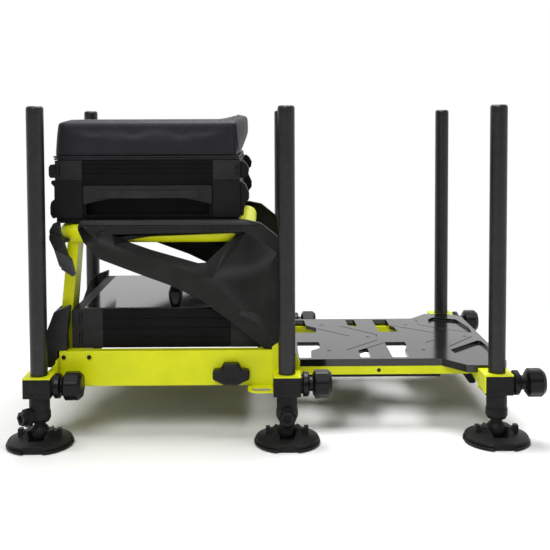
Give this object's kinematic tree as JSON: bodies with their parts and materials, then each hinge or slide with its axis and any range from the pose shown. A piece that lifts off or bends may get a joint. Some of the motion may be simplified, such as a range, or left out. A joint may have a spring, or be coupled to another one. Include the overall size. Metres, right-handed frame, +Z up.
{
  "type": "fishing seat box",
  "caption": "Seat box on adjustable clamped legs with ball feet, stacked seat units, drawers, side pods and a sliding footplate.",
  "frame": {"origin": "centre of the footprint on the ground", "axes": "+X forward towards the footplate, +Y to the sitter's left, +Z up"},
  "size_m": [1.1349, 0.7236, 0.712],
  "materials": {
    "lime_paint": "satin",
    "black_anodised": "satin",
    "moulded_black": "fine grain",
    "knob_black": "satin",
    "unit_skin": "satin",
    "grip_grey": "satin",
    "gloss_panel": "glossy",
    "leatherette": "fine grain",
    "steel_black": "blackened"
  },
  "bodies": {
    "frame": {"side_rails": "lime_paint", "frame_tubes": "lime_paint", "seat_ring": "lime_paint", "leg_brackets": "lime_paint", "seat_clamp_blocks": "moulded_black", "side_pod_right": "moulded_black", "side_pod_left": "moulded_black", "rear_guards": "moulded_black", "slide_guides": "moulded_black", "lower_housing": "unit_skin", "lower_corner_blocks": "moulded_black", "lid_panel": "gloss_panel", "frame_bolts": "steel_black"},
    "footplate": {"footplate_deck": "moulded_black", "footplate_rails": "lime_paint", "rail_glides": "moulded_black", "front_beam": "lime_paint", "footplate_clamp_blocks": "moulded_black", "footplate_screws": "steel_black"},
    "deep_unit": {"deep_tray": "unit_skin", "deep_corner_blocks": "moulded_black", "carry_handles": "moulded_black", "handle_grips": "grip_grey"},
    "shallow_unit": {"shallow_tray": "unit_skin", "shallow_corner_blocks": "moulded_black", "lid_hinge_pin": "steel_black"},
    "seat_lid": {"seat_base": "moulded_black", "seat_cushion": "leatherette"},
    "drawer_upper": {"drawer_upper": "moulded_black"},
    "drawer_lower": {"drawer_lower": "moulded_black"},
    "shallow_front_clips": {"shallow_front_clips": "moulded_black"},
    "deep_front_clips": {"deep_front_clips": "moulded_black"},
    "deep_rear_clips": {"deep_rear_clips": "moulded_black"},
    "latch_levers": {"latch_levers": "moulded_black"},
    "wing_knobs": {"wing_knobs": "knob_black"},
    "panel_knob": {"panel_knob": "knob_black"},
    "leg_rear_right": {"leg_rear_right": "black_anodised"},
    "ankle_rear_right": {"ankle_rear_right": "moulded_black"},
    "foot_rear_right": {"foot_rear_right": "moulded_black"},
    "clamp_knob_rear_right": {"clamp_knob_rear_right": "knob_black"},
    "leg_rear_left": {"leg_rear_left": "black_anodised"},
    "ankle_rear_left": {"ankle_rear_left": "moulded_black"},
    "foot_rear_left": {"foot_rear_left": "moulded_black"},
    "clamp_knob_rear_left": {"clamp_knob_rear_left": "knob_black"},
    "leg_middle_right": {"leg_middle_right": "black_anodised"},
    "ankle_middle_right": {"ankle_middle_right": "moulded_black"},
    "foot_middle_right": {"foot_middle_right": "moulded_black"},
    "clamp_knob_middle_right": {"clamp_knob_middle_right": "knob_black"},
    "leg_middle_left": {"leg_middle_left": "black_anodised"},
    "ankle_middle_left": {"ankle_middle_left": "moulded_black"},
    "foot_middle_left": {"foot_middle_left": "moulded_black"},
    "clamp_knob_middle_left": {"clamp_knob_middle_left": "knob_black"},
    "leg_front_right": {"leg_front_right": "black_anodised"},
    "ankle_front_right": {"ankle_front_right": "moulded_black"},
    "foot_front_right": {"foot_front_right": "moulded_black"},
    "clamp_knob_front_right": {"clamp_knob_front_right": "knob_black"},
    "leg_front_left": {"leg_front_left": "black_anodised"},
    "ankle_front_left": {"ankle_front_left": "moulded_black"},
    "foot_front_left": {"foot_front_left": "moulded_black"},
    "clamp_knob_front_left": {"clamp_knob_front_left": "knob_black"}
  },
  "joints": [
    {"name": "footplate_slide", "type": "slide", "parent": "frame", "child": "footplate", "axis": [-1, 0, 0], "range_m": [0, 0.26]},
    {"name": "seat_lid_hinge", "type": "hinge", "parent": "shallow_unit", "child": "seat_lid", "pos_m": [-0.4835, 0, 0.596], "axis": [0, -1, 0], "range_deg": [0, 85]},
    {"name": "drawer_upper_slide", "type": "slide", "parent": "frame", "child": "drawer_upper", "axis": [1, 0, 0], "range_m": [0, 0.3]},
    {"name": "drawer_lower_slide", "type": "slide", "parent": "frame", "child": "drawer_lower", "axis": [1, 0, 0], "range_m": [0, 0.3]},
    {"name": "deep_unit_lift", "type": "slide", "parent": "frame", "child": "deep_unit", "axis": [0, 0, 1], "range_m": [0, 0.15]},
    {"name": "shallow_unit_lift", "type": "slide", "parent": "deep_unit", "child": "shallow_unit", "axis": [0, 0, 1], "range_m": [0, 0.1]},
    {"name": "shallow_front_clips_turn", "type": "hinge", "parent": "shallow_unit", "child": "shallow_front_clips", "pos_m": [-0.072, 0, 0.591], "axis": [0, -1, 0], "range_deg": [0, 90]},
    {"name": "deep_front_clips_turn", "type": "hinge", "parent": "deep_unit", "child": "deep_front_clips", "pos_m": [-0.0715, 0, 0.477], "axis": [0, 1, 0], "range_deg": [0, 90]},
    {"name": "deep_rear_clips_turn", "type": "hinge", "parent": "deep_unit", "child": "deep_rear_clips", "pos_m": [-0.48, 0, 0.474], "axis": [0, -1, 0], "range_deg": [0, 90]},
    {"name": "latch_levers_swing", "type": "hinge", "parent": "frame", "child": "latch_levers", "pos_m": [-0.4755, 0, 0.436], "axis": [0, 1, 0], "range_deg": [0, 110]},
    {"name": "wing_knobs_turn", "type": "hinge", "parent": "frame", "child": "wing_knobs", "pos_m": [-0.0955, 0, 0.135], "axis": [0, 1, 0], "continuous": true},
    {"name": "panel_knob_turn", "type": "hinge", "parent": "frame", "child": "panel_knob", "pos_m": [-0.2195, -0.195, 0.29], "axis": [0, 0, 1], "continuous": true},
    {"name": "leg_rear_right_slide", "type": "slide", "parent": "frame", "child": "leg_rear_right", "axis": [0, 0, -1], "range_m": [0, 0.3]},
    {"name": "leg_rear_left_slide", "type": "slide", "parent": "frame", "child": "leg_rear_left", "axis": [0, 0, -1], "range_m": [0, 0.3]},
    {"name": "leg_middle_right_slide", "type": "slide", "parent": "frame", "child": "leg_middle_right", "axis": [0, 0, -1], "range_m": [0, 0.3]},
    {"name": "leg_middle_left_slide", "type": "slide", "parent": "frame", "child": "leg_middle_left", "axis": [0, 0, -1], "range_m": [0, 0.3]},
    {"name": "leg_front_right_slide", "type": "slide", "parent": "footplate", "child": "leg_front_right", "axis": [0, 0, -1], "range_m": [0, 0.3]},
    {"name": "leg_front_left_slide", "type": "slide", "parent": "footplate", "child": "leg_front_left", "axis": [0, 0, -1], "range_m": [0, 0.3]},
    {"name": "foot_rear_right_tilt", "type": "hinge", "parent": "ankle_rear_right", "child": "foot_rear_right", "pos_m": [-0.4975, -0.295, 0.026], "axis": [0, 1, 0], "range_deg": [-20, 20]},
    {"name": "foot_rear_left_tilt", "type": "hinge", "parent": "ankle_rear_left", "child": "foot_rear_left", "pos_m": [-0.4975, 0.295, 0.026], "axis": [0, 1, 0], "range_deg": [-20, 20]},
    {"name": "foot_middle_right_tilt", "type": "hinge", "parent": "ankle_middle_right", "child": "foot_middle_right", "pos_m": [0.0235, -0.295, 0.026], "axis": [0, 1, 0], "range_deg": [-20, 20]},
    {"name": "foot_middle_left_tilt", "type": "hinge", "parent": "ankle_middle_left", "child": "foot_middle_left", "pos_m": [0.0235, 0.295, 0.026], "axis": [0, 1, 0], "range_deg": [-20, 20]},
    {"name": "foot_front_right_tilt", "type": "hinge", "parent": "ankle_front_right", "child": "foot_front_right", "pos_m": [0.4675, -0.295, 0.026], "axis": [0, 1, 0], "range_deg": [-20, 20]},
    {"name": "foot_front_left_tilt", "type": "hinge", "parent": "ankle_front_left", "child": "foot_front_left", "pos_m": [0.4675, 0.295, 0.026], "axis": [0, 1, 0], "range_deg": [-20, 20]},
    {"name": "ankle_rear_right_swivel", "type": "hinge", "parent": "leg_rear_right", "child": "ankle_rear_right", "pos_m": [-0.4975, -0.295, 0.09], "axis": [0, 0, 1], "continuous": true},
    {"name": "ankle_rear_left_swivel", "type": "hinge", "parent": "leg_rear_left", "child": "ankle_rear_left", "pos_m": [-0.4975, 0.295, 0.09], "axis": [0, 0, 1], "continuous": true},
    {"name": "ankle_middle_right_swivel", "type": "hinge", "parent": "leg_middle_right", "child": "ankle_middle_right", "pos_m": [0.0235, -0.295, 0.09], "axis": [0, 0, 1], "continuous": true},
    {"name": "ankle_middle_left_swivel", "type": "hinge", "parent": "leg_middle_left", "child": "ankle_middle_left", "pos_m": [0.0235, 0.295, 0.09], "axis": [0, 0, 1], "continuous": true},
    {"name": "ankle_front_right_swivel", "type": "hinge", "parent": "leg_front_right", "child": "ankle_front_right", "pos_m": [0.4675, -0.295, 0.09], "axis": [0, 0, 1], "continuous": true},
    {"name": "ankle_front_left_swivel", "type": "hinge", "parent": "leg_front_left", "child": "ankle_front_left", "pos_m": [0.4675, 0.295, 0.09], "axis": [0, 0, 1], "continuous": true},
    {"name": "clamp_knob_rear_right_turn", "type": "hinge", "parent": "frame", "child": "clamp_knob_rear_right", "pos_m": [-0.4975, -0.295, 0.125], "axis": [1, 0, 0], "continuous": true},
    {"name": "clamp_knob_rear_left_turn", "type": "hinge", "parent": "frame", "child": "clamp_knob_rear_left", "pos_m": [-0.4975, 0.295, 0.125], "axis": [1, 0, 0], "continuous": true},
    {"name": "clamp_knob_middle_right_turn", "type": "hinge", "parent": "frame", "child": "clamp_knob_middle_right", "pos_m": [0.0235, -0.295, 0.125], "axis": [1, 0, 0], "continuous": true},
    {"name": "clamp_knob_middle_left_turn", "type": "hinge", "parent": "frame", "child": "clamp_knob_middle_left", "pos_m": [0.0235, 0.295, 0.125], "axis": [1, 0, 0], "continuous": true},
    {"name": "clamp_knob_front_right_turn", "type": "hinge", "parent": "footplate", "child": "clamp_knob_front_right", "pos_m": [0.4675, -0.295, 0.125], "axis": [1, 0, 0], "continuous": true},
    {"name": "clamp_knob_front_left_turn", "type": "hinge", "parent": "footplate", "child": "clamp_knob_front_left", "pos_m": [0.4675, 0.295, 0.125], "axis": [1, 0, 0], "continuous": true}
  ]
}
